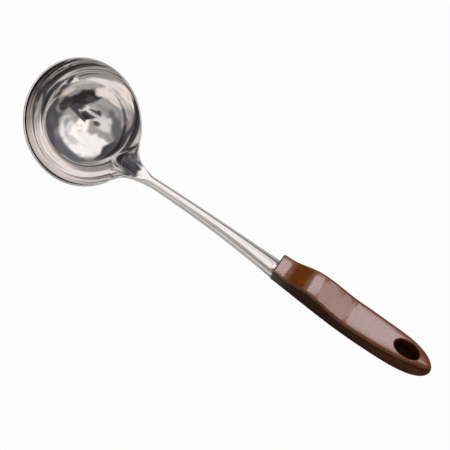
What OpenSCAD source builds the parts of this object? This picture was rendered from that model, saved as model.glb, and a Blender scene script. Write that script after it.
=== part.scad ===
// Soup ladle: a pressed steel bowl and stem in one sheet, its tang moulded into a brown handle.
// Millimetres. The ladle lies on its back: X runs from bowl to handle, Z is up, the table is z = 0.

/* [Bowl] */
// Rim diameter along the ladle
rim_along = 90; // [86:0.5:94]
// Rim diameter across the ladle
rim_across = 92.3; // [86:0.1:96]
// Outside depth from rim plane to bottom
bowl_depth = 33; // [30:0.5:36]
// Angle between the rim plane and the table
rim_tilt = 28.8; // [26:0.2:31]
// Thickness of the pressed sheet
sheet_t = 1.2; // [1:0.1:1.4]

/* [Neck and stem] */
// Half angle of the rim that runs out into the neck
neck_half_angle = 24.5; // [23:0.5:27]
// How far the bowl wall is drawn out at the neck
neck_draw = 3; // [2:0.1:4]
// Half width of the stem crown behind the neck
stem_half_front = 3.3; // [3:0.1:3.8]
// Half width of the stem crown at the handle
stem_half_back = 5.5; // [5:0.1:5.8]
// Depth of the side flanges of the stem
flange_depth = 4.8; // [4:0.1:5.2]
// Outward flare of the flanges at the handle
flange_flare = 1.5; // [1:0.1:1.6]
// Height of the top of the stem arch
stem_top = 15; // [14:0.2:16]

/* [Handle] */
// Distance from bowl bottom point to handle front face
handle_front = 161; // [158:0.5:164]
// Length of the handle
handle_length = 130; // [126:0.5:136]
// Greatest width of the handle at its parting line
handle_width = 27.2; // [26:0.2:30]
// Width of the handle at its front face
handle_front_width = 16.8; // [16:0.2:18]
// Height of the grip at mid length
grip_height = 13.6; // [12.5:0.1:15]
// Height of the thumb hump above the grip
hump_rise = 7.1; // [5:0.1:8]
// Height of the parting line above the table
parting_height = 4.5; // [4:0.1:5]

/* [Hanging hole] */
// Length of the oval hole
hole_length = 20; // [18:0.5:22]
// Width of the oval hole
hole_width = 11.2; // [9:0.2:11.6]
// Distance from handle end to hole centre
hole_from_end = 22.4; // [21:0.2:24]

/* [Tang] */
// Length of the tang inside the handle
tang_length = 61; // [50:1:70]
// Diameter of the locking holes in the tang
lock_hole_d = 4.6; // [4:0.1:5]
// Gap left between tang and moulded handle
mould_gap = 0.05; // [0.04:0.01:0.1]

/* [Hidden] */

steel_colour = [0.78, 0.77, 0.76];
handle_colour = [0.30, 0.14, 0.06];
sample_step = 0.01;
sample_angle = 0.1;

// Bowl as a cap of a sphere, stretched a little across the ladle.
bowl_r = (pow(rim_along / 2, 2) + pow(bowl_depth, 2)) / (2 * bowl_depth);
bowl_inner_r = bowl_r - sheet_t;
cap_angle = acos((bowl_r - bowl_depth) / bowl_r);
across_scale = rim_across / rim_along;
bowl_axis_up = [sin(rim_tilt), 0, cos(rim_tilt)];
bowl_axis_front = [cos(rim_tilt), 0, -sin(rim_tilt)];
bowl_centre = [0, 0, bowl_r];

// Polar angle at which the ramp to the neck begins, and how far it climbs past the rim circle.
draw_from = 54;
neck_lift = 4.8;
neck_lift_power = 1.7;

// Extra polar angle of the rim at the shoulders, and the azimuth where it ends.
shoulder_rise = 1;
shoulder_end = 50;

// Main stations along the ladle.
neck_end = 55;
handle_end = handle_front + handle_length;
tang_end = handle_front + tang_length;
ladle_middle = (handle_end - bowl_r) / 2;

// Grid sizes.
cap_rings = 13;
neck_columns = 18;
open_columns = 64;
ring_points = neck_columns + open_columns;
neck_rows = 14;
stem_rows = 16;
tang_rows = 9;
strip_rows = neck_rows + stem_rows + tang_rows;
strip_points = neck_columns + 1;
surface_points = 1 + cap_rings * ring_points + strip_rows * strip_points;

function mix(a, b, t) = a + (b - a) * t;
function clamp01(t) = min(1, max(0, t));
function ease(t) = (1 - cos(180 * clamp01(t))) / 2;
function unit(v) = v / norm(v);

// Bowl

function cap_direction(polar, azimuth) =
    -cos(polar) * bowl_axis_up
    + sin(polar) * (cos(azimuth) * bowl_axis_front + across_scale * sin(azimuth) * [0, 1, 0]);

// How far the wall stands out from the sphere near the neck.
function neck_share(azimuth) = min(1, abs(azimuth) / neck_half_angle);

function draw_start(azimuth) =
    mix(draw_from, cap_angle + shoulder_rise, pow(neck_share(azimuth), 2));

function wall_draw(polar, azimuth) =
    neck_draw * pow(max(0, polar - draw_start(azimuth)) / (cap_angle - draw_from), 2);

function cap_point(polar, azimuth, radius) =
    bowl_centre + (radius + wall_draw(polar, azimuth)) * cap_direction(polar, azimuth);

// Polar angle of the rim, which rises a little at both shoulders of the neck.
function rim_polar(azimuth) =
    let (away = min(abs(azimuth), 360 - abs(azimuth)))
    cap_angle
    + shoulder_rise * ease((shoulder_end - away) / (shoulder_end - neck_half_angle))
    + neck_lift * pow(cos(90 * neck_share(away)), neck_lift_power);

function rim_point(azimuth, below = 0) =
    cap_point(rim_polar(azimuth) - below, azimuth, bowl_inner_r);

function rim_meridian(azimuth) = unit(rim_point(azimuth) - rim_point(azimuth, sample_angle));

function rim_circle_way(azimuth) =
    unit(rim_point(azimuth + sample_angle) - rim_point(azimuth - sample_angle));

// Azimuth of one column of the bowl: the neck columns first, then the open rim.
function column_azimuth(j) =
    j <= neck_columns
        ? neck_half_angle * column_v(j)
        : neck_half_angle + (360 - 2 * neck_half_angle) * (j - neck_columns) / open_columns;

// Stem: an arched channel, crown up, flanges down

arch_peak = 72;
arch_bend = 0.00104;
stem_widen = 1.6;
crown_power = 0.7;
flange_start = 0.3;
tang_start = 1;
tang_half = 4.3;
tang_drop = 1;
tang_out = 0.2;
tang_blend = 16;
tang_level = 22;

function stem_run(x) = clamp01((x - neck_end) / (handle_front - neck_end));
function tang_run(x) = ease((x - handle_front - tang_start) / tang_blend);

function arch_height(x) = stem_top - arch_bend * pow(x - arch_peak, 2);
function arch_slope(x) = -2 * arch_bend * (x - arch_peak);

// Inside the handle the arch runs level.
function stem_height(x) =
    let (inside = min(max(x - handle_front, 0), tang_level))
    arch_height(min(x, handle_front))
    + arch_slope(handle_front) * (inside - inside * inside / (2 * tang_level));

function crown_half(x) =
    mix(mix(stem_half_front, stem_half_back, pow(stem_run(x), stem_widen)), tang_half, tang_run(x));

function flange_drop(x) = mix(flange_depth, tang_drop, tang_run(x));

function flange_out(x) =
    mix(mix(flange_start, flange_flare, pow(stem_run(x), 2)), tang_out, tang_run(x));

function side_sign(v) = v < 0 ? -1 : 1;

// Point of the stem crown surface; v runs from -1 to 1 across the channel.
function stem_point(x, v, grow = 0) =
    let (
        turn = 90 * min(1, abs(v)),
        fall = 1 - pow(cos(turn), crown_power),
        reach = pow(sin(turn), crown_power)
    )
    [
        x,
        side_sign(v) * (crown_half(x) + flange_out(x) * fall + grow) * reach,
        stem_height(x) - (flange_drop(x) + grow) * fall
    ];

// Neck: each line leaves the rim inside the bowl surface and runs into the stem

neck_reach_mid = 4;
neck_reach_edge = 10.5;
neck_arrive_mid = 10;
neck_arrive_edge = 13.5;
neck_dip = 3;
neck_turn = 84;
neck_turn_power = 1.5;

function neck_start_way(v) =
    let (azimuth = neck_half_angle * v, turn = neck_turn * pow(sin(90 * abs(v)), neck_turn_power))
    cos(turn) * rim_meridian(azimuth) - side_sign(v) * sin(turn) * rim_circle_way(azimuth);

function bezier(a, b, c, d, t) =
    pow(1 - t, 3) * a + 3 * t * pow(1 - t, 2) * b + 3 * t * t * (1 - t) * c + pow(t, 3) * d;

function neck_point(t, v) =
    let (
        start = rim_point(neck_half_angle * v),
        finish = stem_point(neck_end, v),
        finish_way = unit(stem_point(neck_end + sample_step, v) - finish),
        edge = v * v,
        reach = mix(neck_reach_mid, neck_reach_edge, edge),
        arrive = mix(neck_arrive_mid, neck_arrive_edge, edge),
        dip = [0, 0, neck_dip * edge]
    )
    bezier(start, start + reach * neck_start_way(v), finish - arrive * finish_way - dip, finish, t);

// Row parameter: 0 to 1 in the neck, then 1 plus the distance behind the neck.
function strip_point(u, v) = u <= 1 ? neck_point(u, v) : stem_point(neck_end + u - 1, v);

function strip_normal(u, v) =
    let (
        side = min(v, 1 - sample_step),
        a = strip_point(u - sample_step / 2, side),
        b = strip_point(u + sample_step / 2, side),
        c = strip_point(u, max(side - sample_step, -1)),
        d = strip_point(u, side + sample_step)
    )
    unit(cross(b - a, d - c));

function strip_row(r) =
    r <= neck_rows
        ? r / neck_rows
        : r <= neck_rows + stem_rows
            ? 1 + (handle_front - neck_end) * (r - neck_rows) / stem_rows
            : 1 + handle_front - neck_end + tang_length * (r - neck_rows - stem_rows) / tang_rows;

// Place across the strip, from -1 to 1, with closer columns towards the edges.
function column_v(c) = sin(90 * (2 * c / neck_columns - 1));

// Sheet: upper surface, under surface and rounded edge as one closed solid

upper_points = concat(
    [cap_point(0, 0, bowl_inner_r)],
    [for (i = [1:cap_rings], j = [0:ring_points - 1])
        cap_point(rim_polar(column_azimuth(j)) * i / cap_rings, column_azimuth(j), bowl_inner_r)],
    [for (r = [1:strip_rows], c = [0:neck_columns]) strip_point(strip_row(r), column_v(c))]
);

under_points = concat(
    [cap_point(0, 0, bowl_r)],
    [for (i = [1:cap_rings], j = [0:ring_points - 1])
        cap_point(rim_polar(column_azimuth(j)) * i / cap_rings, column_azimuth(j), bowl_r)],
    [for (r = [1:strip_rows], c = [0:neck_columns])
        strip_point(strip_row(r), column_v(c)) - sheet_t * strip_normal(strip_row(r), column_v(c))]
);

function cap_index(i, j) = i == 0 ? 0 : 1 + (i - 1) * ring_points + j % ring_points;

function strip_index(r, c) =
    r == 0 ? cap_index(cap_rings, c) : 1 + cap_rings * ring_points + (r - 1) * strip_points + c;

// Edge of the sheet in order, once round.
sheet_edge = concat(
    [for (k = [0:strip_rows - 1]) strip_index(strip_rows - k, neck_columns)],
    [for (j = [neck_columns:ring_points]) cap_index(cap_rings, j)],
    [for (r = [1:strip_rows]) strip_index(r, 0)],
    [for (c = [1:neck_columns - 1]) strip_index(strip_rows, c)]
);

edge_bulge = 0.4;

// Points half way through the sheet, standing a little proud of its edge, square to the edge.
function edge_line(upper, under, edge) =
    [for (k = [0:len(edge) - 1])
        let (
            here = edge[k],
            before = edge[(k + len(edge) - 1) % len(edge)],
            after = edge[(k + 1) % len(edge)],
            outwards = unit(cross(upper[here] - under[here], upper[after] - upper[before]))
        )
        (upper[here] + under[here]) / 2 - edge_bulge * sheet_t * outwards];

function two_triangles(a, b, c, d) = [[a, b, c], [a, c, d]];

function flipped(face, shift) = [face[0] + shift, face[2] + shift, face[1] + shift];

// Faces of a closed sheet from its upper faces, its edge and the point count of one surface.
function closed_sheet(upper, edge, count) = concat(
    upper,
    [for (f = upper) flipped(f, count)],
    [for (k = [0:len(edge) - 1])
        let (
            next = (k + 1) % len(edge),
            a = edge[k],
            b = edge[next],
            mid_a = 2 * count + k,
            mid_b = 2 * count + next
        )
        for (t = concat(two_triangles(a, b, mid_b, mid_a),
            two_triangles(mid_a, mid_b, b + count, a + count))) t]
);

upper_faces = concat(
    [for (j = [0:ring_points - 1]) [0, cap_index(1, j + 1), cap_index(1, j)]],
    [for (i = [1:cap_rings - 1], j = [0:ring_points - 1],
        t = two_triangles(cap_index(i, j), cap_index(i, j + 1),
            cap_index(i + 1, j + 1), cap_index(i + 1, j))) t],
    [for (r = [0:strip_rows - 1], c = [0:neck_columns - 1],
        t = two_triangles(strip_index(r, c), strip_index(r, c + 1),
            strip_index(r + 1, c + 1), strip_index(r + 1, c))) t]
);

sheet_points = concat(upper_points, under_points, edge_line(upper_points, under_points, sheet_edge));

sheet_faces = closed_sheet(upper_faces, sheet_edge, surface_points);

// Tang locking holes

lock_holes = [29, 47];
peg_half_length = 3.5;

module at_lock_holes() {
    for (x = lock_holes) {
        translate([handle_front + x, 0, 0]) children();
    }
}

module bowl_and_stem() {
    color(steel_colour)
    translate([-ladle_middle, 0, 0])
    difference() {
        polyhedron(points = sheet_points, faces = sheet_faces);
        at_lock_holes() cylinder(d = lock_hole_d, h = grip_height, $fn = 48);
    }
}

// Handle: rings of points round the plan outline, station by station

front_rounding = 1.2;
front_angles = 3;
side_stations = 22;
end_stations = 14;
station_count = front_angles + side_stations + end_stations;
widest = 238;
outline_power = 3.4;
side_power = 1.3;
flare_front = -0.3;
flare_back = 3.6;
flare_full = 270;
hump_at = 190;
hump_before = 22;
hump_after = 36;
front_rise = 2.7;
front_rise_power = 1.5;
end_rise = 0.8;
end_rise_run = 32;
toe_rise = 0.8;
toe_run = 24;
heel_rise = 0.5;
heel_run = 20;
end_facet = 275;
end_facet_slope = 0.34;
end_facet_soft = 0.8;
end_inset = 0.35;
low_corner = 3.4;
parting_fall = 2;
parting_fall_run = 26;
top_corner = 2.3;
low_draft = 0.25;
crown_rise = 0.4;
crown_share = 0.45;
crown_level = 0.75;
thin_limit = 0.72;
close_run = 14;
corner_steps = 4;

// Plan half width at the parting line.
function plan_half(x) =
    x < widest
        ? handle_front_width / 2 + (handle_width - handle_front_width) / 2
            * pow(sin(90 * clamp01((x - handle_front) / (widest - handle_front))), side_power)
        : handle_width / 2
            * sqrt(max(0, 1 - pow(min(1, (x - widest) / (handle_end - widest)), outline_power)));

function hump(x) =
    x < hump_at ? ease(1 - (hump_at - x) / hump_before) : ease(1 - (x - hump_at) / hump_after);

function grip_top(x) =
    grip_height
    + front_rise * pow(clamp01((widest - x) / (widest - handle_front)), front_rise_power)
    + end_rise * pow(clamp01((x - widest) / end_rise_run), 2)
    + hump_rise * hump(x)
    - end_facet_slope * end_facet_soft * ln(1 + exp((x - end_facet) / end_facet_soft));

function grip_bottom(x) =
    toe_rise * pow(clamp01((handle_front + toe_run - x) / toe_run), 2)
    + heel_rise * pow(clamp01((x - handle_end + heel_run) / heel_run), 2);

// Height of the parting line, which sinks towards the rounded end.
function parting(x) =
    parting_height
    - parting_fall * pow(clamp01((x - handle_end + parting_fall_run) / parting_fall_run), 2);

function side_flare(x) =
    mix(flare_front, flare_back, clamp01((x - handle_front) / (flare_full - handle_front)));

// Profile of the side from bottom to top: inset from the parting outline and kind of height.
function corner_turn(k) = 90 * k / corner_steps;

low_profile = [for (k = [0:corner_steps])
    [low_draft + low_corner * (1 - sin(corner_turn(k))), low_corner * (1 - cos(corner_turn(k)))]];
top_profile = [for (k = [0:corner_steps])
    [top_corner * (1 - cos(corner_turn(k))), top_corner * (1 - sin(corner_turn(k)))]];

function station_x(i) =
    i < front_angles
        ? handle_front + front_rounding * (1 - cos(90 * i / front_angles))
        : i <= front_angles + side_stations
            ? mix(handle_front + front_rounding, end_facet - close_run,
                (i - front_angles) / side_stations)
            : mix(end_facet - close_run, handle_end,
                sin(90 * (i - front_angles - side_stations) / end_stations));

function front_inset(i) = i < front_angles ? front_rounding * (1 - sin(90 * i / front_angles)) : 0;

// Point with an inset measured in plan, at a height above the bottom or below the top.
function grip_point(i, inset, above_bottom, below_top, side) =
    let (
        x0 = station_x(i),
        shrink = 1 - inset / (handle_width / 2),
        x = x0 - end_inset * inset * pow(clamp01((x0 - widest) / (handle_end - widest)), 2),
        half = max(0, (plan_half(x0) - front_inset(i)) * shrink),
        rounding = front_inset(i),
        z = below_top == undef
            ? grip_bottom(x) + above_bottom + rounding * max(0, 1 - above_bottom / low_corner)
            : grip_top(x) - below_top - rounding * max(0, 1 - below_top / top_corner)
    )
    [x, side * half, z];

function flare_inset(i) =
    let (x0 = station_x(i))
    side_flare(x0) * (handle_width / 2) / max(plan_half(x0), thin_limit * handle_width / 2);

// Share of the height below the parting line that is left at one station.
function low_share(i) = (parting(station_x(i)) - grip_bottom(station_x(i))) / parting_height;

function side_points(i, side) =
    let (crown_start = flare_inset(i) + top_corner)
    concat(
        [for (p = low_profile) grip_point(i, p[0], p[1] * low_share(i), undef, side)],
        [grip_point(i, 0, parting_height * low_share(i), undef, side)],
        [for (p = top_profile) grip_point(i, flare_inset(i) + p[0], 0, p[1], side)],
        [grip_point(i, mix(crown_start, handle_width / 2, crown_share), 0,
            -crown_level * crown_rise, side)]
    );

profile_points = len(side_points(1, 1));

function grip_ring(i) = concat(
    [grip_point(i, handle_width / 2, 0, undef, 1)],
    side_points(i, 1),
    [grip_point(i, handle_width / 2, 0, -crown_rise, 1)],
    [for (k = [1:profile_points]) side_points(i, -1)[profile_points - k]]
);

ring_size = 2 * profile_points + 2;

grip_points = concat(
    [for (i = [0:station_count - 1]) each grip_ring(i)],
    side_points(station_count, 1)
);

grip_tip = station_count * ring_size;
grip_last = (station_count - 1) * ring_size;

grip_faces = concat(
    [[for (k = [0:ring_size - 1]) k]],
    [for (i = [0:station_count - 2], k = [0:ring_size - 1],
        t = two_triangles(i * ring_size + k, (i + 1) * ring_size + k,
            (i + 1) * ring_size + (k + 1) % ring_size, i * ring_size + (k + 1) % ring_size)) t],
    [[grip_last, grip_tip, grip_last + 1]],
    [[grip_last + ring_size - 1, grip_tip, grip_last]],
    [for (k = [0:profile_points - 2],
        t = two_triangles(grip_last + 1 + k, grip_tip + k,
            grip_tip + k + 1, grip_last + 2 + k)) t],
    [for (k = [0:profile_points - 2],
        t = two_triangles(grip_last + ring_size - 1 - k, grip_last + ring_size - 2 - k,
            grip_tip + k + 1, grip_tip + k)) t],
    [[grip_last + profile_points, grip_tip + profile_points - 1, grip_last + profile_points + 1]],
    [[grip_last + profile_points + 1, grip_tip + profile_points - 1, grip_last + profile_points + 2]]
);

// Socket: the room the tang takes up in the moulded handle

socket_first = neck_rows + stem_rows - 1;
socket_rows = strip_rows - socket_first;
socket_count = (socket_rows + 1) * strip_points;

function socket_push(r, c) =
    mould_gap * (
        (c == 0 || c == neck_columns
            ? unit(strip_point(strip_row(r), side_sign(column_v(c)))
                - strip_point(strip_row(r), side_sign(column_v(c)) * (1 - sample_step)))
            : [0, 0, 0])
        + (r == strip_rows ? [1, 0, 0] : [0, 0, 0])
    );

function socket_surface(offset_by) =
    [for (r = [socket_first:strip_rows], c = [0:neck_columns])
        strip_point(strip_row(r), column_v(c))
        + offset_by * strip_normal(strip_row(r), column_v(c))
        + socket_push(r, c)];

function socket_index(r, c) = r * strip_points + c;

socket_edge = concat(
    [for (k = [0:socket_rows - 1]) socket_index(socket_rows - k, neck_columns)],
    [for (k = [0:neck_columns - 1]) socket_index(0, neck_columns - k)],
    [for (r = [0:socket_rows]) socket_index(r, 0)],
    [for (c = [1:neck_columns - 1]) socket_index(socket_rows, c)]
);

socket_upper_faces = [for (r = [0:socket_rows - 1], c = [0:neck_columns - 1],
    t = two_triangles(socket_index(r, c), socket_index(r, c + 1),
        socket_index(r + 1, c + 1), socket_index(r + 1, c))) t];

module tang_socket() {
    upper = socket_surface(mould_gap);
    under = socket_surface(-sheet_t - mould_gap);
    polyhedron(
        points = concat(upper, under, edge_line(upper, under, socket_edge)),
        faces = closed_sheet(socket_upper_faces, socket_edge, socket_count)
    );
}

// Hanging hole: oval, drafted from both faces to the parting line

hole_x = handle_end - hole_from_end;
hole_draft = 0.4;
hole_lip = 0.9;
hole_past = 2;

module hanging_hole() {
    top = grip_top(hole_x) + crown_rise;
    half = hole_width / 2;
    translate([hole_x, 0, 0])
    scale([hole_length / hole_width, 1, 1]) {
        translate([0, 0, -hole_past])
        cylinder(r1 = half, r2 = half - hole_draft, h = parting_height + hole_past, $fn = 96);
        translate([0, 0, parting_height])
        cylinder(r1 = half - hole_draft, r2 = half, h = top + hole_past - parting_height, $fn = 96);
        translate([0, 0, top - hole_lip])
        cylinder(r1 = half - hole_draft / 2, r2 = half + hole_lip + hole_past,
            h = hole_lip + hole_past, $fn = 96);
        translate([0, 0, -hole_past])
        cylinder(r1 = half + hole_past, r2 = half - hole_lip / 2, h = hole_past + hole_lip, $fn = 96);
    }
}

module handle() {
    color(handle_colour)
    translate([-ladle_middle, 0, 0]) {
        difference() {
            polyhedron(points = grip_points, faces = grip_faces);
            tang_socket();
            hanging_hole();
        }
        at_lock_holes()
        translate([0, 0, parting_height - peg_half_length])
        cylinder(d = lock_hole_d - 2 * mould_gap, h = 2 * peg_half_length, $fn = 48);
    }
}

bowl_and_stem();
handle();
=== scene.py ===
"""Soup ladle in polished steel with a moulded brown handle, dressed on its CAD frame."""

import math

import bmesh
import bpy
from mathutils import Matrix, Vector


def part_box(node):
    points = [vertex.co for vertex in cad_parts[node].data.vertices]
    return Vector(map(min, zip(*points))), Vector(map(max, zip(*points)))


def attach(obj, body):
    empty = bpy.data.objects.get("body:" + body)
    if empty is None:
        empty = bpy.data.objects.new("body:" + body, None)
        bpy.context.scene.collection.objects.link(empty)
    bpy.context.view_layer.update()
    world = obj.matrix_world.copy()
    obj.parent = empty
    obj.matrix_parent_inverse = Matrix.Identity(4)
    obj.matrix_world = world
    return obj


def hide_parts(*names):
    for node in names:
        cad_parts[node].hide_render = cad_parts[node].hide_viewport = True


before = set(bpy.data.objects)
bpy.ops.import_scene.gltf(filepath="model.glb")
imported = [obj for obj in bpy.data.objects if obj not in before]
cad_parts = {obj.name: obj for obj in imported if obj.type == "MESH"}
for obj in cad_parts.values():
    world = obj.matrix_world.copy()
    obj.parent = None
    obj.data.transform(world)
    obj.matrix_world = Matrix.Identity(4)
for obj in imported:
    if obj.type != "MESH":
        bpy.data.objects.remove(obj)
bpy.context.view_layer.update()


scene = bpy.context.scene

# Sizes are in millimetres and angles in degrees. They are those of the part's source, apart from
# the ones marked "for the look", which differ from it a little, and the counts of mesh steps.
MM = 0.001
SHEET_T = 1.2
RIM_ALONG = 90.0
RIM_ACROSS = 92.3
BOWL_DEPTH = 33.0
RIM_TILT = 28.8
NECK_HALF_ANGLE = 24.5
SEAM_DIP = 20.0  # for the look: how far the middle of the neck runs down the bowl's wall
SHOULDER_RISE = 1.0
SHOULDER_END = 50.0
NECK_END = 55.0
HANDLE_FRONT = 161.0
TANG_LENGTH = 61.0

BOWL_R = ((RIM_ALONG / 2) ** 2 + BOWL_DEPTH ** 2) / (2 * BOWL_DEPTH)
BOWL_INNER_R = BOWL_R - SHEET_T
CAP_ANGLE = math.degrees(math.acos((BOWL_R - BOWL_DEPTH) / BOWL_R))
ACROSS_SCALE = RIM_ACROSS / RIM_ALONG
TILT = math.radians(RIM_TILT)
AXIS_UP = Vector((math.sin(TILT), 0, math.cos(TILT)))
AXIS_FRONT = Vector((math.cos(TILT), 0, -math.sin(TILT)))
BOWL_CENTRE = Vector((0, 0, BOWL_R))

# X is counted from the bowl's lowest point here. The frame's own origin is the ladle's middle.
handle_low, handle_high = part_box("handle")
LADLE_MIDDLE = HANDLE_FRONT - handle_low.x / MM
HANDLE_END = LADLE_MIDDLE + handle_high.x / MM

# Steps over which a slope is measured, and distances in metres below which points are merged.
STEP = 0.01
ANGLE_STEP = 0.1
MERGE = 1e-7
MERGE_AFTER_CUT = 1e-6


def mix(a, b, t):
    return a + (b - a) * t


def clamp01(t):
    return min(1.0, max(0.0, t))


def ease(t):
    return (1 - math.cos(math.pi * clamp01(t))) / 2


def sin_deg(angle):
    return math.sin(math.radians(angle))


def cos_deg(angle):
    return math.cos(math.radians(angle))


def sign(v):
    return -1 if v < 0 else 1


# Bowl: a cap round a tilted axis. Polar angles start at its lowest point, azimuth 0 is the neck.

def cap_direction(polar, azimuth):
    across = Vector((0, ACROSS_SCALE * sin_deg(azimuth), 0))
    return -cos_deg(polar) * AXIS_UP + sin_deg(polar) * (cos_deg(azimuth) * AXIS_FRONT + across)


def cap_point(polar, azimuth, radius):
    return BOWL_CENTRE + radius * cap_direction(polar, azimuth)


def wall_polar(azimuth):
    """Where the wall ends: at the rim, and lower down where the neck grows out of it."""
    away = min(abs(azimuth), 360 - abs(azimuth))
    neck_share = min(1, away / NECK_HALF_ANGLE)
    return (CAP_ANGLE
            + SHOULDER_RISE * ease((SHOULDER_END - away) / (SHOULDER_END - NECK_HALF_ANGLE))
            - SEAM_DIP * cos_deg(90 * neck_share))


def wall_end(azimuth):
    return cap_point(wall_polar(azimuth), azimuth, BOWL_INNER_R)


def wall_up(azimuth):
    below = cap_point(wall_polar(azimuth) - ANGLE_STEP, azimuth, BOWL_INNER_R)
    return (wall_end(azimuth) - below).normalized()


def wall_round(azimuth):
    polar = wall_polar(azimuth)
    return (cap_point(polar, azimuth + ANGLE_STEP, BOWL_INNER_R)
            - cap_point(polar, azimuth - ANGLE_STEP, BOWL_INNER_R)).normalized()


# Stem: an arched channel that flattens into the tang. v runs across it, from -1 to 1.

STEM_TOP = 15.0
ARCH_PEAK = 72.0
ARCH_BEND = 0.00104
STEM_HALF_FRONT = 3.6  # for the look
STEM_HALF_BACK = 5.9  # for the look
FLANGE_DEPTH = 4.4  # for the look
FLANGE_START = 0.3
FLANGE_FLARE = 1.5
STEM_WIDEN = 1.6
STEM_ROUNDNESS = 0.75  # for the look
TANG_HALF = 4.3
TANG_DROP = 1.0
TANG_OUT = 0.2
TANG_START = 1.0
TANG_BLEND = 16.0
TANG_LEVEL = 22.0


def stem_run(x):
    return clamp01((x - NECK_END) / (HANDLE_FRONT - NECK_END))


def tang_run(x):
    return ease((x - HANDLE_FRONT - TANG_START) / TANG_BLEND)


def arch_height(x):
    return STEM_TOP - ARCH_BEND * (x - ARCH_PEAK) ** 2


def arch_slope(x):
    return -2 * ARCH_BEND * (x - ARCH_PEAK)


def stem_height(x):
    inside = min(max(x - HANDLE_FRONT, 0), TANG_LEVEL)
    bend = inside - inside * inside / (2 * TANG_LEVEL)
    return arch_height(min(x, HANDLE_FRONT)) + arch_slope(HANDLE_FRONT) * bend


def stem_point(x, v):
    half = mix(STEM_HALF_FRONT, STEM_HALF_BACK, stem_run(x) ** STEM_WIDEN)
    half = mix(half, TANG_HALF, tang_run(x))
    drop = mix(FLANGE_DEPTH, TANG_DROP, tang_run(x))
    out = FLANGE_START + (FLANGE_FLARE - FLANGE_START) * stem_run(x) ** 2
    out = mix(out, TANG_OUT, tang_run(x))
    turn = 90 * min(1, abs(v))
    fall = 1 - max(0.0, cos_deg(turn)) ** STEM_ROUNDNESS
    reach = sin_deg(turn) ** STEM_ROUNDNESS
    return Vector((x, sign(v) * (half + out * fall) * reach, stem_height(x) - drop * fall))


# Neck: curves from the wall's end to the stem's start, long in the middle and turned at the edges.

NECK_REACH_MID = 24.0  # for the look
NECK_REACH_EDGE = 10.5
NECK_ARRIVE_MID = 6.5  # for the look
NECK_ARRIVE_EDGE = 13.5
NECK_DIP = 3.0
NECK_TURN = 77.0  # for the look
NECK_TURN_POWER = 3.0  # for the look


def neck_start_way(v):
    azimuth = NECK_HALF_ANGLE * v
    turn = NECK_TURN * abs(v) ** NECK_TURN_POWER
    return cos_deg(turn) * wall_up(azimuth) - sign(v) * sin_deg(turn) * wall_round(azimuth)


def bezier(a, b, c, d, t):
    return (1 - t) ** 3 * a + 3 * t * (1 - t) ** 2 * b + 3 * t * t * (1 - t) * c + t ** 3 * d


def neck_point(t, v):
    start = wall_end(NECK_HALF_ANGLE * v)
    finish = stem_point(NECK_END, v)
    finish_way = (stem_point(NECK_END + STEP, v) - finish).normalized()
    edge = v * v
    reach = mix(NECK_REACH_MID, NECK_REACH_EDGE, edge)
    arrive = mix(NECK_ARRIVE_MID, NECK_ARRIVE_EDGE, edge)
    dip = Vector((0, 0, NECK_DIP * edge))
    leaving = start + reach * neck_start_way(v)
    arriving = finish - arrive * finish_way - dip
    return bezier(start, leaving, arriving, finish, t)


def strip_point(u, v):
    """The neck for u up to 1, and then the stem and tang, with u growing by 1 a millimetre."""
    return neck_point(u, v) if u <= 1 else stem_point(NECK_END + u - 1, v)


def strip_normal(u, v):
    inner = min(v, 1 - STEP)
    along = strip_point(u + STEP / 2, inner) - strip_point(u - STEP / 2, inner)
    across = strip_point(u, inner + STEP) - strip_point(u, max(inner - STEP, -1))
    return along.cross(across).normalized()


def mesh_object(name, points, faces):
    """An object of points in millimetres, moved so that X is counted from the ladle's middle."""
    mesh = bpy.data.meshes.new(name)
    placed = [((p[0] - LADLE_MIDDLE) * MM, p[1] * MM, p[2] * MM) for p in points]
    mesh.from_pydata(placed, [], faces)
    work = bmesh.new()
    work.from_mesh(mesh)
    bmesh.ops.remove_doubles(work, verts=work.verts, dist=MERGE)
    bmesh.ops.recalc_face_normals(work, faces=work.faces)
    work.to_mesh(mesh)
    work.free()
    mesh.polygons.foreach_set("use_smooth", [True] * len(mesh.polygons))
    piece = bpy.data.objects.new(name, mesh)
    scene.collection.objects.link(piece)
    return piece


# Pressed sheet: bowl, neck, stem and tang as one closed skin with a rolled edge.

CAP_RINGS = 56
LAST_WALL_RING = 0.997
NECK_COLUMNS = 56
OPEN_COLUMNS = 220
NECK_ROWS = 56
STEM_ROWS = 60
TANG_ROWS = 24
EDGE_STEPS = 6
EDGE_BULGE = 0.46  # for the look
RING_POINTS = NECK_COLUMNS + OPEN_COLUMNS
STRIP_ROWS = NECK_ROWS + STEM_ROWS + TANG_ROWS
STRIP_POINTS = NECK_COLUMNS + 1


def column_v(c):
    return sin_deg(90 * (2 * c / NECK_COLUMNS - 1))


def column_azimuth(j):
    if j <= NECK_COLUMNS:
        return NECK_HALF_ANGLE * column_v(j)
    return NECK_HALF_ANGLE + (360 - 2 * NECK_HALF_ANGLE) * (j - NECK_COLUMNS) / OPEN_COLUMNS


def strip_row(r):
    """The u of a row of the strip."""
    if r <= NECK_ROWS:
        return r / NECK_ROWS
    if r <= NECK_ROWS + STEM_ROWS:
        return 1 + (HANDLE_FRONT - NECK_END) * (r - NECK_ROWS) / STEM_ROWS
    return 1 + HANDLE_FRONT - NECK_END + TANG_LENGTH * (r - NECK_ROWS - STEM_ROWS) / TANG_ROWS


def cap_index(i, j):
    return 0 if i == 0 else 1 + (i - 1) * RING_POINTS + j % RING_POINTS


def strip_index(r, c):
    if r == 0:
        return cap_index(CAP_RINGS, c)
    return 1 + CAP_RINGS * RING_POINTS + (r - 1) * STRIP_POINTS + c


def ring_share(i):
    """How far up the wall a ring lies. The last two lie close together and keep the rim crisp."""
    return 1.0 if i == CAP_RINGS else min(i / (CAP_RINGS - 1), LAST_WALL_RING)


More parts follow.
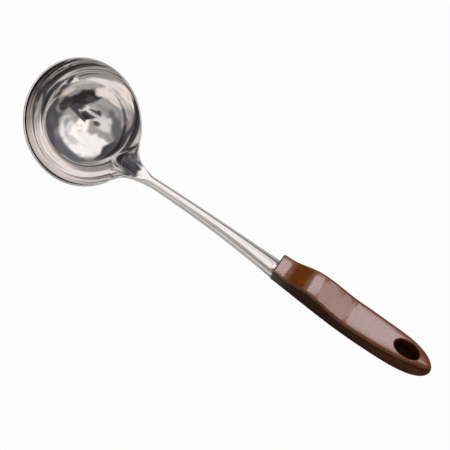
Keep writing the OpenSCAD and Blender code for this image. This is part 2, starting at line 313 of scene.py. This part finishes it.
def sheet_skins():
    """The points of the upper and the under skin: the cap's rings, then the strip's rows."""
    upper = [cap_point(0, 0, BOWL_INNER_R)]
    under = [cap_point(0, 0, BOWL_R)]
    for i in range(1, CAP_RINGS + 1):
        for j in range(RING_POINTS):
            azimuth = column_azimuth(j)
            polar = wall_polar(azimuth) * ring_share(i)
            upper.append(cap_point(polar, azimuth, BOWL_INNER_R))
            under.append(cap_point(polar, azimuth, BOWL_R))
    for r in range(1, STRIP_ROWS + 1):
        for c in range(STRIP_POINTS):
            point = strip_point(strip_row(r), column_v(c))
            upper.append(point)
            under.append(point - SHEET_T * strip_normal(strip_row(r), column_v(c)))
    return upper, under


def skin_outline():
    """The indices along a skin's edge: down one side of the strip, round the rim, and back."""
    outline = [strip_index(STRIP_ROWS - k, NECK_COLUMNS) for k in range(STRIP_ROWS)]
    outline += [cap_index(CAP_RINGS, j) for j in range(NECK_COLUMNS, RING_POINTS + 1)]
    outline += [strip_index(r, 0) for r in range(1, STRIP_ROWS + 1)]
    outline += [strip_index(STRIP_ROWS, c) for c in range(1, NECK_COLUMNS)]
    return outline


def skin_faces():
    faces = [(0, cap_index(1, j + 1), cap_index(1, j)) for j in range(RING_POINTS)]
    for i in range(1, CAP_RINGS):
        for j in range(RING_POINTS):
            faces.append((cap_index(i, j), cap_index(i, j + 1),
                          cap_index(i + 1, j + 1), cap_index(i + 1, j)))
    for r in range(STRIP_ROWS):
        for c in range(NECK_COLUMNS):
            faces.append((strip_index(r, c), strip_index(r, c + 1),
                          strip_index(r + 1, c + 1), strip_index(r + 1, c)))
    return faces


def make_sheet():
    upper, under = sheet_skins()
    outline = skin_outline()
    count = len(upper)
    points = upper + under
    rows = [outline]
    for s in range(1, EDGE_STEPS):
        angle = math.pi * s / EDGE_STEPS
        row = []
        for k, here in enumerate(outline):
            before = outline[k - 1]
            after = outline[(k + 1) % len(outline)]
            through = upper[here] - under[here]
            outwards = -through.cross(upper[after] - upper[before]).normalized()
            middle = (upper[here] + under[here]) / 2
            bulge = EDGE_BULGE * outwards * math.sin(angle)
            row.append(len(points))
            points.append(middle + through / 2 * math.cos(angle) + bulge)
        rows.append(row)
    rows.append([count + here for here in outline])

    faces = skin_faces()
    faces += [tuple(index + count for index in reversed(face)) for face in faces]
    for near, far in zip(rows, rows[1:]):
        for k in range(len(outline)):
            after = (k + 1) % len(outline)
            faces.append((near[k], near[after], far[after], far[k]))
    return mesh_object("Pressed_ladle", points, faces)


# Handle: rings across it, one behind the other.

HANDLE_WIDTH = 27.2
HANDLE_FRONT_WIDTH = 16.8
GRIP_HEIGHT = 13.6
HUMP_RISE = 7.1
PARTING_HEIGHT = 4.5
HOLE_LENGTH = 20.0
HOLE_WIDTH = 11.2
HOLE_FROM_END = 22.4
FRONT_ROUNDING = 1.2
WIDEST = 238.0
OUTLINE_POWER = 3.4
SIDE_POWER = 1.3
FLARE_FRONT = -0.3
FLARE_BACK = 3.6
FLARE_FULL = 270.0
HUMP_AT = 191.0  # for the look
HUMP_BEFORE = 24.0  # for the look
HUMP_AFTER = 35.0  # for the look
FRONT_RISE = 2.7
FRONT_RISE_POWER = 1.5
END_RISE = 0.8
END_RISE_RUN = 32.0
TOE_RISE = 0.8
TOE_RUN = 24.0
HEEL_RISE = 0.5
HEEL_RUN = 20.0
END_FACET = 275.0
END_FACET_SLOPE = 0.34
END_FACET_SOFT = 0.8
END_INSET = 0.35
LOW_CORNER = 3.4
PARTING_FALL = 2.0
PARTING_FALL_RUN = 26.0
TOP_CORNER = 2.5  # for the look
LOW_DRAFT = 0.25
CROWN_RISE = 0.4
CROWN_POWER = 2.3  # passes through the source's one point of the dome
THIN_LIMIT = 0.72
CLOSE_RUN = 14.0
HALF_WIDTH = HANDLE_WIDTH / 2

FRONT_STATIONS = 6
MIDDLE_STATIONS = 110
END_STATIONS = 70
CORNER_STEPS = 9
SIDE_STEPS = 6
TOP_STEPS = 22

# Faint ripples of the moulding behind the hump: place, slant, bend, height, half width.
WAVES = [
    (196.0, -0.20, 0.0, 0.06, 0.9),
    (210.0, 0.55, 0.0, -0.10, 2.4),
    (218.5, 0.50, 0.035, 0.08, 0.9),
]


def waves(x, y):
    total = 0.0
    for place, slant, bend, height, half in WAVES:
        total += height * math.exp(-(((x - place - slant * y + bend * y * y) / half) ** 2))
    return total


def plan_half(x):
    """Half the handle's width, seen from above."""
    if x < WIDEST:
        run = clamp01((x - HANDLE_FRONT) / (WIDEST - HANDLE_FRONT))
        swell = sin_deg(90 * run) ** SIDE_POWER
        return HANDLE_FRONT_WIDTH / 2 + (HANDLE_WIDTH - HANDLE_FRONT_WIDTH) / 2 * swell
    run = min(1.0, (x - WIDEST) / (HANDLE_END - WIDEST))
    return HALF_WIDTH * math.sqrt(max(0.0, 1 - run ** OUTLINE_POWER))


def hump(x):
    if x < HUMP_AT:
        return ease(1 - (HUMP_AT - x) / HUMP_BEFORE)
    return ease(1 - (x - HUMP_AT) / HUMP_AFTER)


def grip_top(x):
    past_facet = math.log(1 + math.exp((x - END_FACET) / END_FACET_SOFT))
    return (GRIP_HEIGHT
            + FRONT_RISE * clamp01((WIDEST - x) / (WIDEST - HANDLE_FRONT)) ** FRONT_RISE_POWER
            + END_RISE * clamp01((x - WIDEST) / END_RISE_RUN) ** 2
            + HUMP_RISE * hump(x)
            - END_FACET_SLOPE * END_FACET_SOFT * past_facet)


def grip_bottom(x):
    return (TOE_RISE * clamp01((HANDLE_FRONT + TOE_RUN - x) / TOE_RUN) ** 2
            + HEEL_RISE * clamp01((x - HANDLE_END + HEEL_RUN) / HEEL_RUN) ** 2)


def parting(x):
    fall_run = clamp01((x - HANDLE_END + PARTING_FALL_RUN) / PARTING_FALL_RUN)
    return PARTING_HEIGHT - PARTING_FALL * fall_run ** 2


def flare_inset(x):
    """How far the side leans in between the parting line and the top's corner."""
    run = clamp01((x - HANDLE_FRONT) / (FLARE_FULL - HANDLE_FRONT))
    flare = mix(FLARE_FRONT, FLARE_BACK, run)
    return flare * HALF_WIDTH / max(plan_half(x), THIN_LIMIT * HALF_WIDTH)


def crown(share):
    """The top's slight doming, from its corner (0) to the middle line (1)."""
    return CROWN_RISE * (1 - (1 - share) ** CROWN_POWER)


def side_profile(x):
    """Inset, zone and height in that zone, from the bottom's middle up the side to the top's."""
    low_share = (parting(x) - grip_bottom(x)) / PARTING_HEIGHT
    profile = [(HALF_WIDTH, "bottom", 0.0), (HALF_WIDTH / 2, "bottom", 0.0)]
    for k in range(CORNER_STEPS + 1):
        angle = 90 * k / CORNER_STEPS
        profile.append((LOW_DRAFT + LOW_CORNER * (1 - sin_deg(angle)), "bottom",
                        LOW_CORNER * (1 - cos_deg(angle)) * low_share))
    profile.append((0.0, "bottom", PARTING_HEIGHT * low_share))
    inset = flare_inset(x)
    for k in range(1, SIDE_STEPS):
        profile.append((inset * k / SIDE_STEPS, "between", k / SIDE_STEPS))
    for k in range(CORNER_STEPS + 1):
        angle = 90 * k / CORNER_STEPS
        profile.append((inset + TOP_CORNER * (1 - cos_deg(angle)), "top",
                        TOP_CORNER * (1 - sin_deg(angle))))
    corner = inset + TOP_CORNER
    for k in range(1, TOP_STEPS + 1):
        share = k / TOP_STEPS
        profile.append((mix(corner, HALF_WIDTH, share), "top", -crown(share)))
    return profile


def grip_point(x0, entry, front_inset, side):
    inset, zone, value = entry
    x = x0 - END_INSET * inset * clamp01((x0 - WIDEST) / (HANDLE_END - WIDEST)) ** 2
    y = side * max(0.0, (plan_half(x0) - front_inset) * (1 - inset / HALF_WIDTH))
    if zone == "bottom":
        return Vector((x, y, grip_bottom(x) + value
                       + front_inset * max(0.0, 1 - value / LOW_CORNER)))
    if zone == "between":
        low_share = (parting(x0) - grip_bottom(x0)) / PARTING_HEIGHT
        seam = grip_bottom(x) + PARTING_HEIGHT * low_share
        return Vector((x, y, mix(seam, grip_top(x) - TOP_CORNER, value)))
    up_corner = 1 - value / TOP_CORNER
    z = grip_top(x) - value - front_inset * max(0.0, up_corner)
    return Vector((x, y, z + waves(x, y) * clamp01(up_corner)))


def handle_stations():
    """Where the rings stand, and how far each is drawn in for the rounded front edge."""
    turns = [90 * i / FRONT_STATIONS for i in range(FRONT_STATIONS)]
    front = [(HANDLE_FRONT + FRONT_ROUNDING * (1 - cos_deg(turn)),
              FRONT_ROUNDING * (1 - sin_deg(turn))) for turn in turns]
    close_from = END_FACET - CLOSE_RUN
    middle = [(mix(HANDLE_FRONT + FRONT_ROUNDING, close_from, i / MIDDLE_STATIONS), 0.0)
              for i in range(MIDDLE_STATIONS)]
    back = [(mix(close_from, HANDLE_END, sin_deg(90 * i / END_STATIONS)), 0.0)
            for i in range(END_STATIONS + 1)]
    return front + middle + back


def loft(name, rings, close_end):
    """A skin through rings of equally many points, closed across the first and maybe the last."""
    size = len(rings[0])
    points = [point for ring in rings for point in ring]
    faces = [tuple(range(size))]
    for i in range(len(rings) - 1):
        for k in range(size):
            after = (k + 1) % size
            faces.append((i * size + k, i * size + after,
                          (i + 1) * size + after, (i + 1) * size + k))
    if close_end:
        faces.append(tuple((len(rings) - 1) * size + k for k in range(size)))
    return mesh_object(name, points, faces)


def make_grip():
    rings = []
    for x0, front_inset in handle_stations():
        profile = side_profile(x0)
        one = [grip_point(x0, entry, front_inset, 1) for entry in profile]
        other = [grip_point(x0, entry, front_inset, -1) for entry in profile[1:-1]]
        rings.append(one + other[::-1])
    return loft("Moulded_handle", rings, close_end=False)


def top_height(x, y):
    corner = flare_inset(x) + TOP_CORNER
    inset = HALF_WIDTH * (1 - min(1.0, abs(y) / plan_half(x)))
    return grip_top(x) + crown(clamp01((inset - corner) / (HALF_WIDTH - corner)))


# Hanging hole: an oval plug whose two ends flare out in round lips that follow the handle.

HOLE_DRAFT = 0.4
TOP_LIP = 1.1  # for the look
LOW_LIP = 0.6  # for the look
LIP_ANGLES = [0, 12, 24, 36, 48, 60, 70, 80]
HOLE_POINTS = 128
HOLE_X = HANDLE_END - HOLE_FROM_END
HOLE_HALF = HOLE_WIDTH / 2
HOLE_STRETCH = (HOLE_LENGTH - HOLE_WIDTH) / 2

# How far the plug goes on past the faces, outwards and up or down.
PAST_TOP = (0.6, 2.0)
PAST_BOTTOM = (0.5, 1.5)


def oval_point(way, radius):
    return Vector((HOLE_X + way.x * (radius + HOLE_STRETCH), way.y * radius, 0))


def plug_point(level, angle, way):
    if level == "waist":
        radius = HOLE_HALF - HOLE_DRAFT
        z = PARTING_HEIGHT
    elif level in ("past bottom", "bottom"):
        radius = HOLE_HALF + LOW_LIP * (1 - cos_deg(angle))
        z = grip_bottom(oval_point(way, radius).x) + LOW_LIP * (1 - sin_deg(angle))
        if level == "past bottom":
            radius += PAST_BOTTOM[0]
            z -= PAST_BOTTOM[1]
    else:
        radius = HOLE_HALF + TOP_LIP * (1 - cos_deg(angle))
        outer = oval_point(way, HOLE_HALF + TOP_LIP)
        z = top_height(outer.x, outer.y) - TOP_LIP * (1 - sin_deg(angle))
        if level == "past top":
            radius += PAST_TOP[0]
            z += PAST_TOP[1]
    place = oval_point(way, radius)
    return Vector((place.x, place.y, z))


def make_hole_cutter():
    levels = [("past bottom", LIP_ANGLES[-1])]
    levels += [("bottom", angle) for angle in reversed(LIP_ANGLES)]
    levels += [("waist", 0)]
    levels += [("top", angle) for angle in LIP_ANGLES]
    levels += [("past top", LIP_ANGLES[-1])]
    turns = [2 * math.pi * k / HOLE_POINTS for k in range(HOLE_POINTS)]
    ways = [Vector((math.cos(turn), math.sin(turn), 0)) for turn in turns]
    rings = [[plug_point(level, angle, way) for way in ways] for level, angle in levels]
    return loft("Hole_cutter", rings, close_end=True)


def cut_away(piece, cutter):
    modifier = piece.modifiers.new("Cut", "BOOLEAN")
    modifier.operation = "DIFFERENCE"
    modifier.solver = "EXACT"
    modifier.object = cutter
    bpy.context.view_layer.update()
    evaluated = piece.evaluated_get(bpy.context.evaluated_depsgraph_get())
    result = bpy.data.meshes.new_from_object(evaluated)
    piece.modifiers.clear()
    piece.data = result
    bpy.data.objects.remove(cutter)


def sharpen(piece, degrees):
    """Merges what the cut left double, and shades smoothly but for edges over this angle."""
    work = bmesh.new()
    work.from_mesh(piece.data)
    bmesh.ops.remove_doubles(work, verts=work.verts, dist=MERGE_AFTER_CUT)
    for face in work.faces:
        face.smooth = True
    for edge in work.edges:
        if len(edge.link_faces) == 2:
            edge.smooth = edge.calc_face_angle(0) < math.radians(degrees)
    work.to_mesh(piece.data)
    work.free()


# Node helpers

class Tree:
    """Short forms for building a node tree."""

    def __init__(self, tree):
        self.tree = tree
        self.tree.nodes.clear()

    def add(self, kind, **settings):
        node = self.tree.nodes.new(kind)
        for key, value in settings.items():
            setattr(node, key, value)
        return node

    def put(self, socket, value):
        if isinstance(value, bpy.types.NodeSocket):
            self.tree.links.new(value, socket)
        else:
            socket.default_value = value

    def object_place(self):
        return self.add("ShaderNodeTexCoord").outputs["Object"]

    def split(self, place):
        """X and Y of a place."""
        parts = self.add("ShaderNodeSeparateXYZ")
        self.put(parts.inputs[0], place)
        return parts.outputs[0], parts.outputs[1]

    def rays(self):
        """1 for the camera's own rays, and 1 for those that a mirror or a clear body sends on."""
        path = self.add("ShaderNodeLightPath").outputs
        mirrored = self.math("ADD", path["Is Glossy Ray"], path["Is Transmission Ray"], clamp=True)
        return path["Is Camera Ray"], mirrored

    def math(self, operation, a, b=None, clamp=False):
        node = self.add("ShaderNodeMath", operation=operation, use_clamp=clamp)
        self.put(node.inputs[0], a)
        if b is not None:
            self.put(node.inputs[1], b)
        return node.outputs[0]

    def dot(self, a, b):
        node = self.add("ShaderNodeVectorMath", operation="DOT_PRODUCT")
        self.put(node.inputs[0], a)
        self.put(node.inputs[1], b)
        return node.outputs["Value"]

    def length(self, x, y, z):
        joined = self.add("ShaderNodeCombineXYZ")
        for socket, value in zip(joined.inputs, (x, y, z)):
            self.put(socket, value)
        node = self.add("ShaderNodeVectorMath", operation="LENGTH")
        self.put(node.inputs[0], joined.outputs[0])
        return node.outputs["Value"]

    def fade(self, value, start, end, low=0.0, high=1.0, smooth=True):
        node = self.add("ShaderNodeMapRange",
                        interpolation_type="SMOOTHSTEP" if smooth else "LINEAR")
        for name, given in (("Value", value), ("From Min", start), ("From Max", end),
                            ("To Min", low), ("To Max", high)):
            self.put(node.inputs[name], given)
        return node.outputs[0]

    def blend(self, share, a, b):
        node = self.add("ShaderNodeMix", data_type="RGBA")
        self.put(node.inputs[0], share)
        self.put(node.inputs[6], a)
        self.put(node.inputs[7], b)
        return node.outputs[2]

    def noise(self, place, scale, detail, roughness):
        node = self.add("ShaderNodeTexNoise")
        self.put(node.inputs["Vector"], place)
        node.inputs["Scale"].default_value = scale
        node.inputs["Detail"].default_value = detail
        node.inputs["Roughness"].default_value = roughness
        return node.outputs["Fac"]

    def grain(self, place, scales, detail, roughness, rotation=(0, 0, 0)):
        """Noise with a scale of its own along each axis."""
        node = self.add("ShaderNodeMapping")
        self.put(node.inputs["Vector"], place)
        node.inputs["Scale"].default_value = scales
        node.inputs["Rotation"].default_value = rotation
        return self.noise(node.outputs[0], 1.0, detail, roughness)

    def bump(self, height, strength, distance, normal=None):
        node = self.add("ShaderNodeBump")
        node.inputs["Strength"].default_value = strength
        node.inputs["Distance"].default_value = distance
        self.put(node.inputs["Height"], height)
        if normal is not None:
            self.put(node.inputs["Normal"], normal)
        return node.outputs[0]

    def finish(self, kind, shader):
        output = self.add(kind)
        self.put(output.inputs["Surface"], shader.outputs[0])


def material(name):
    made = bpy.data.materials.new(name)
    made.use_nodes = True
    return made, Tree(made.node_tree)


# Materials. Lengths in them are in metres, in the piece's own coordinates.

STEEL_PALE = (0.845, 0.825, 0.81, 1)
STEEL_GREY = (0.79, 0.77, 0.76, 1)
BRUSHED_FROM = -0.08
BRUSHED_FULL = -0.06
BRUSHED_ROUGHNESS = 0.11
RESIN_DARK = (0.165, 0.039, 0.003, 1)
RESIN_WARM = (0.235, 0.064, 0.006, 1)
RESIN_BAND = (0.11, 0.026, 0.003, 1)
RESIN_SPECK = (0.25, 0.09, 0.02, 1)
RESIN_IOR = 1.52
SCRATCH_DEPTH = 0.00002
RIPPLE_DEPTH = 0.0004


def steel_material():
    """A mirror in the bowl and brushed from the neck on, with fine lines and faint smears."""
    made, t = material("Polished_steel")
    place = t.object_place()
    lines = t.grain(place, (40, 2600, 2600), detail=3.0, roughness=0.6)
    smear = t.grain(place, (60, 90, 90), detail=3.0, roughness=0.55)
    ripple = t.noise(place, scale=55.0, detail=1.0, roughness=0.4)
    shader = t.add("ShaderNodeBsdfPrincipled")
    shader.inputs["Metallic"].default_value = 1.0
    t.put(shader.inputs["Base Color"], t.blend(t.fade(smear, 0.35, 0.7), STEEL_PALE, STEEL_GREY))
    x, _ = t.split(place)
    brushed = t.fade(x, BRUSHED_FROM, BRUSHED_FULL, low=0.0, high=BRUSHED_ROUGHNESS)
    polish = t.math("ADD", t.fade(smear, 0.3, 0.75, low=0.04, high=0.08),
                    t.fade(lines, 0.4, 0.8, low=0.0, high=0.025))
    t.put(shader.inputs["Roughness"], t.math("ADD", polish, brushed))
    pressed = t.bump(ripple, strength=0.10, distance=RIPPLE_DEPTH)
    t.put(shader.inputs["Normal"],
          t.bump(lines, strength=0.05, distance=SCRATCH_DEPTH, normal=pressed))
    t.finish("ShaderNodeOutputMaterial", shader)
    return made


def resin_material():
    """Brown resin with fine flow streaks, darker bands and pale specks, polished and rubbed."""
    made, t = material("Brown_resin")
    place = t.object_place()
    flow = t.grain(place, (60, 420, 420), detail=4.0, roughness=0.6)
    band = t.grain(place, (420, 45, 120), detail=3.0, roughness=0.55, rotation=(0, 0, 0.5))
    speck = t.noise(place, scale=1800.0, detail=2.0, roughness=0.6)
    rubbed = t.grain(place, (120, 1900, 1900), detail=3.0, roughness=0.6)
    cloud = t.noise(place, scale=60.0, detail=3.0, roughness=0.5)
    colour = t.blend(t.fade(flow, 0.3, 0.72), RESIN_DARK, RESIN_WARM)
    colour = t.blend(t.fade(band, 0.42, 0.72, low=0.0, high=0.4), colour, RESIN_BAND)
    colour = t.blend(t.fade(speck, 0.62, 0.8, low=0.0, high=0.25), colour, RESIN_SPECK)
    shader = t.add("ShaderNodeBsdfPrincipled")
    t.put(shader.inputs["Base Color"], colour)
    shader.inputs["IOR"].default_value = RESIN_IOR
    polish = t.math("ADD", t.fade(cloud, 0.3, 0.7, low=0.12, high=0.16),
                    t.fade(rubbed, 0.45, 0.8, low=0.0, high=0.03))
    t.put(shader.inputs["Roughness"], polish)
    moulded = t.bump(cloud, strength=0.03, distance=RIPPLE_DEPTH)
    t.put(shader.inputs["Normal"],
          t.bump(rubbed, strength=0.015, distance=SCRATCH_DEPTH, normal=moulded))
    t.finish("ShaderNodeOutputMaterial", shader)
    return made


CREASE = 38

sheet = make_sheet()
sheet.data.materials.append(steel_material())
grip = make_grip()
cut_away(grip, make_hole_cutter())
sharpen(grip, CREASE)
grip.data.materials.clear()
grip.data.materials.append(resin_material())

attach(sheet, "root")
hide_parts("bowl_and_stem")
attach(grip, "root")
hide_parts("handle")


# Floor: white for the camera, as the photograph's background is, apart from a painted shade that
# shows through the hanging hole. What the ladle mirrors of it fades to grey close to the ladle,
# a painted shade round it.
FLOOR_HALF = 6
FLOOR_WHITE = 0.975
FLOOR_GREY = (0.5, 0.5, 0.5, 1)
# Painted shade: the floor's dark colour under the hanging hole.
PAINTED_HOLE_SHADE = (0.09, 0.07, 0.06, 1)
SHADE_HALF_LENGTH = 0.018
SHADE_HALF_WIDTH = 0.011
GLOW = (1, 1, 1, 1)


def floor_material():
    made, t = material("Pale_floor")
    x, y = t.split(t.object_place())
    camera_ray, mirrored_ray = t.rays()
    # Painted shade in what the ladle mirrors: near its middle line by the handle the floor's glow
    # fades out, so mirrored rays see the dimmer grey floor there.
    beside = t.fade(t.math("ABSOLUTE", y), 0.005, 0.14, low=0.0, high=0.55)
    before = t.fade(x, 0.02, 0.06, low=0.45, high=0.0)
    # Painted shade: an oval under the hanging hole, where the glow fades out and the colour turns
    # dark.
    from_hole = t.math("ADD", x, -(HOLE_X - LADLE_MIDDLE) * MM)
    away = t.length(t.math("MULTIPLY", from_hole, 1 / SHADE_HALF_LENGTH),
                    t.math("MULTIPLY", y, 1 / SHADE_HALF_WIDTH), 0.0)
    clear = t.fade(away, 0.8, 1.0)
    seen = t.math("MULTIPLY", camera_ray, t.math("MULTIPLY", clear, FLOOR_WHITE))
    mirrored = t.math("MULTIPLY", mirrored_ray, t.math("MAXIMUM", beside, before))
    diffuse = t.add("ShaderNodeBsdfDiffuse")
    # Painted shade under the hanging hole, in the floor's diffuse colour.
    t.put(diffuse.inputs["Color"], t.blend(clear, PAINTED_HOLE_SHADE, FLOOR_GREY))
    glow = t.add("ShaderNodeEmission")
    glow.inputs["Color"].default_value = GLOW
    glow.inputs["Strength"].default_value = 1.0
    joined = t.add("ShaderNodeMixShader")
    t.put(joined.inputs[0], t.math("MAXIMUM", seen, mirrored))
    t.put(joined.inputs[1], diffuse.outputs[0])
    t.put(joined.inputs[2], glow.outputs[0])
    t.finish("ShaderNodeOutputMaterial", joined)
    return made


floor_mesh = bpy.data.meshes.new("Floor")
floor_corners = [(-FLOOR_HALF, -FLOOR_HALF, 0), (FLOOR_HALF, -FLOOR_HALF, 0),
                 (FLOOR_HALF, FLOOR_HALF, 0), (-FLOOR_HALF, FLOOR_HALF, 0)]
floor_mesh.from_pydata(floor_corners, [], [(0, 1, 2, 3)])
floor = bpy.data.objects.new("Floor", floor_mesh)
floor.data.materials.append(floor_material())
scene.collection.objects.link(floor)


# Studio round the ladle: a grey sky with pale sheets and dark screens in it, each a soft oval.
# Later ovals cover earlier ones. A slow noise sways their edges, and faint streaks drift over all.
SKY = (0.44, 0.405, 0.385)

# Azimuth, elevation, half width, half height and roll in degrees, softness, colour.
SCREENS = [
    (100, 67, 47, 26, 0, 0.35, (1.13, 1.09, 1.10)),
    (262, 60, 34, 16, 0, 0.5, (0.88, 0.85, 0.84)),
    (275, 42, 28, 11, 0, 0.5, (0.45, 0.43, 0.43)),
    (30, 52, 20, 9, 0, 0.5, (0.85, 0.83, 0.84)),
    (358, 68, 23, 10, 0, 0.5, (1.25, 1.14, 1.08)),
    (45, 6, 75, 23, 0, 0.4, (0.085, 0.085, 0.095)),
    (150, 22, 58, 30, 0, 0.35, (0.052, 0.053, 0.06)),
    (88, 33, 46, 10, 0, 0.6, (0.15, 0.155, 0.18)),
    (110, 2, 34, 15, 0, 0.5, (0.75, 0.73, 0.73)),
    (215, 47, 27, 11, 0, 0.5, (0.15, 0.155, 0.185)),
    (309, 57, 16, 10, 0, 0.4, (0.035, 0.035, 0.045)),
    (325, 43, 12, 5, -15, 0.5, (0.95, 0.92, 0.91)),
    (300, 57, 17, 2.6, -28, 0.4, (0.90, 0.88, 0.87)),
    (320, 26, 29, 16, 0, 0.35, (0.03, 0.028, 0.03)),
    (266, 15, 30, 12, 0, 0.4, (0.98, 0.89, 0.83)),
    (345, 3, 15, 6, 0, 0.5, (0.80, 0.66, 0.58)),
    (357, 19, 15, 11, 0, 0.5, (0.05, 0.045, 0.05)),
    (280, 71, 8, 5, 0, 0.5, (0.10, 0.10, 0.12)),
    (344, 47, 3, 20, 10, 0.5, (0.08, 0.08, 0.10)),
    (166, 47, 17, 9, 0, 0.5, (0.07, 0.07, 0.08)),
]
SOFTNESS = 0.6
SWAY = 1.3
BEHIND = 9.0
STREAK_SHARE = 0.38
STREAK_GREY = (0.16, 0.155, 0.165, 1)
DIFFUSE_SKY = 0.25


def oval_distance(t, way, azimuth, elevation, half_width, half_height, roll):
    """0 in an oval's middle and 1 at its edge, and large on the far side of the sky."""
    ca, sa = cos_deg(azimuth), sin_deg(azimuth)
    ce, se = cos_deg(elevation), sin_deg(elevation)
    centre = Vector((ce * ca, ce * sa, se))
    side = Vector((-sa, ca, 0))
    rise = Vector((-se * ca, -se * sa, ce))
    across = (side * cos_deg(roll) + rise * sin_deg(roll)) / sin_deg(half_width)
    upwards = (rise * cos_deg(roll) - side * sin_deg(roll)) / sin_deg(half_height)
    behind = t.math("MAXIMUM", t.math("MULTIPLY", t.dot(way, centre), -BEHIND), 0.0)
    return t.length(t.dot(way, across), t.dot(way, upwards), behind)


def make_sky():
    world = bpy.data.worlds.new("Studio")
    world.use_nodes = True
    t = Tree(world.node_tree)
    way = t.add("ShaderNodeTexCoord").outputs["Generated"]
    wander = t.noise(way, scale=3.4, detail=1.0, roughness=0.4)
    sway = t.math("MULTIPLY", t.math("ADD", wander, -0.5), SWAY)
    streaks = t.grain(way, (1.6, 5.0, 8.0), detail=1.5, roughness=0.45, rotation=(0.3, 0.2, 0.6))
    colour = (*SKY, 1)
    for *oval, softness, shade in SCREENS:
        away = t.math("ADD", oval_distance(t, way, *oval), sway)
        share = t.fade(away, 1 + SOFTNESS * softness, 1 - SOFTNESS * softness)
        colour = t.blend(share, colour, (*shade, 1))
    colour = t.blend(t.fade(streaks, 0.52, 0.68, low=0.0, high=STREAK_SHARE), colour, STREAK_GREY)
    background = t.add("ShaderNodeBackground")
    t.put(background.inputs["Color"], colour)
    camera_ray, mirrored_ray = t.rays()
    seen = t.math("ADD", mirrored_ray, camera_ray, clamp=True)
    t.put(background.inputs["Strength"],
          t.fade(seen, 0.0, 1.0, low=DIFFUSE_SKY, high=1.0, smooth=False))
    t.finish("ShaderNodeOutputWorld", background)
    scene.world = world


make_sky()


# Two soft boxes are set for the dark handle; the mirror-bright steel keeps the sky alone.
# Name, place, width and height in metres, watts, colour.
LAMP_TARGET = Vector((0.1, 0, 0.015))
SOFT_BOXES = [
    ("Soft_box", (0.06, 0.35, 0.93), 0.52, 0.42, 4.3, (1.0, 0.94, 1.0)),
    ("Side_box", (0.57, 0.33, 0.84), 0.52, 0.46, 2.9, (1.0, 0.94, 0.96)),
]


def soft_box(name, centre, width, height, watts, shade):
    data = bpy.data.lights.new(name, "AREA")
    data.shape = "RECTANGLE"
    data.size = width
    data.size_y = height
    data.energy = watts
    data.color = shade
    lamp = bpy.data.objects.new(name, data)
    lamp.location = centre
    scene.collection.objects.link(lamp)
    lamp.rotation_euler = (LAMP_TARGET - lamp.location).to_track_quat("-Z", "Y").to_euler()
    lamp.visible_camera = False
    return lamp


grip_light = bpy.data.collections.new("Grip_light")
grip_light.objects.link(grip)
for box in SOFT_BOXES:
    soft_box(*box).light_linking.receiver_collection = grip_light


# Camera: the photograph's view, as it was fitted to the rim, the stem and the handle.
CAMERA_AZIMUTH = 16.40
CAMERA_ELEVATION = 67.34
CAMERA_ROLL = 18.33
CAMERA_DISTANCE = 1.0
CAMERA_TARGET = Vector((114.28 - LADLE_MIDDLE, 3.13, 12)) * MM
CAMERA_LENS = 112.904

camera_data = bpy.data.cameras.new("Camera")
camera_data.sensor_width = 36.0
camera_data.lens = CAMERA_LENS
camera_data.clip_start = 0.05
camera_data.clip_end = 50.0
camera = bpy.data.objects.new("Camera", camera_data)
back = Vector((sin_deg(CAMERA_AZIMUTH) * cos_deg(CAMERA_ELEVATION),
               -cos_deg(CAMERA_AZIMUTH) * cos_deg(CAMERA_ELEVATION),
               sin_deg(CAMERA_ELEVATION)))
level = Vector((cos_deg(CAMERA_AZIMUTH), sin_deg(CAMERA_AZIMUTH), 0))
upright = back.cross(level)
right = cos_deg(CAMERA_ROLL) * level + sin_deg(CAMERA_ROLL) * upright
up = cos_deg(CAMERA_ROLL) * upright - sin_deg(CAMERA_ROLL) * level
camera.matrix_world = Matrix((
    (right.x, up.x, back.x, 0),
    (right.y, up.y, back.y, 0),
    (right.z, up.z, back.z, 0),
    (0, 0, 0, 1),
))
camera.location = CAMERA_TARGET + CAMERA_DISTANCE * back
scene.collection.objects.link(camera)
scene.camera = camera
scene.view_settings.view_transform = "Standard"
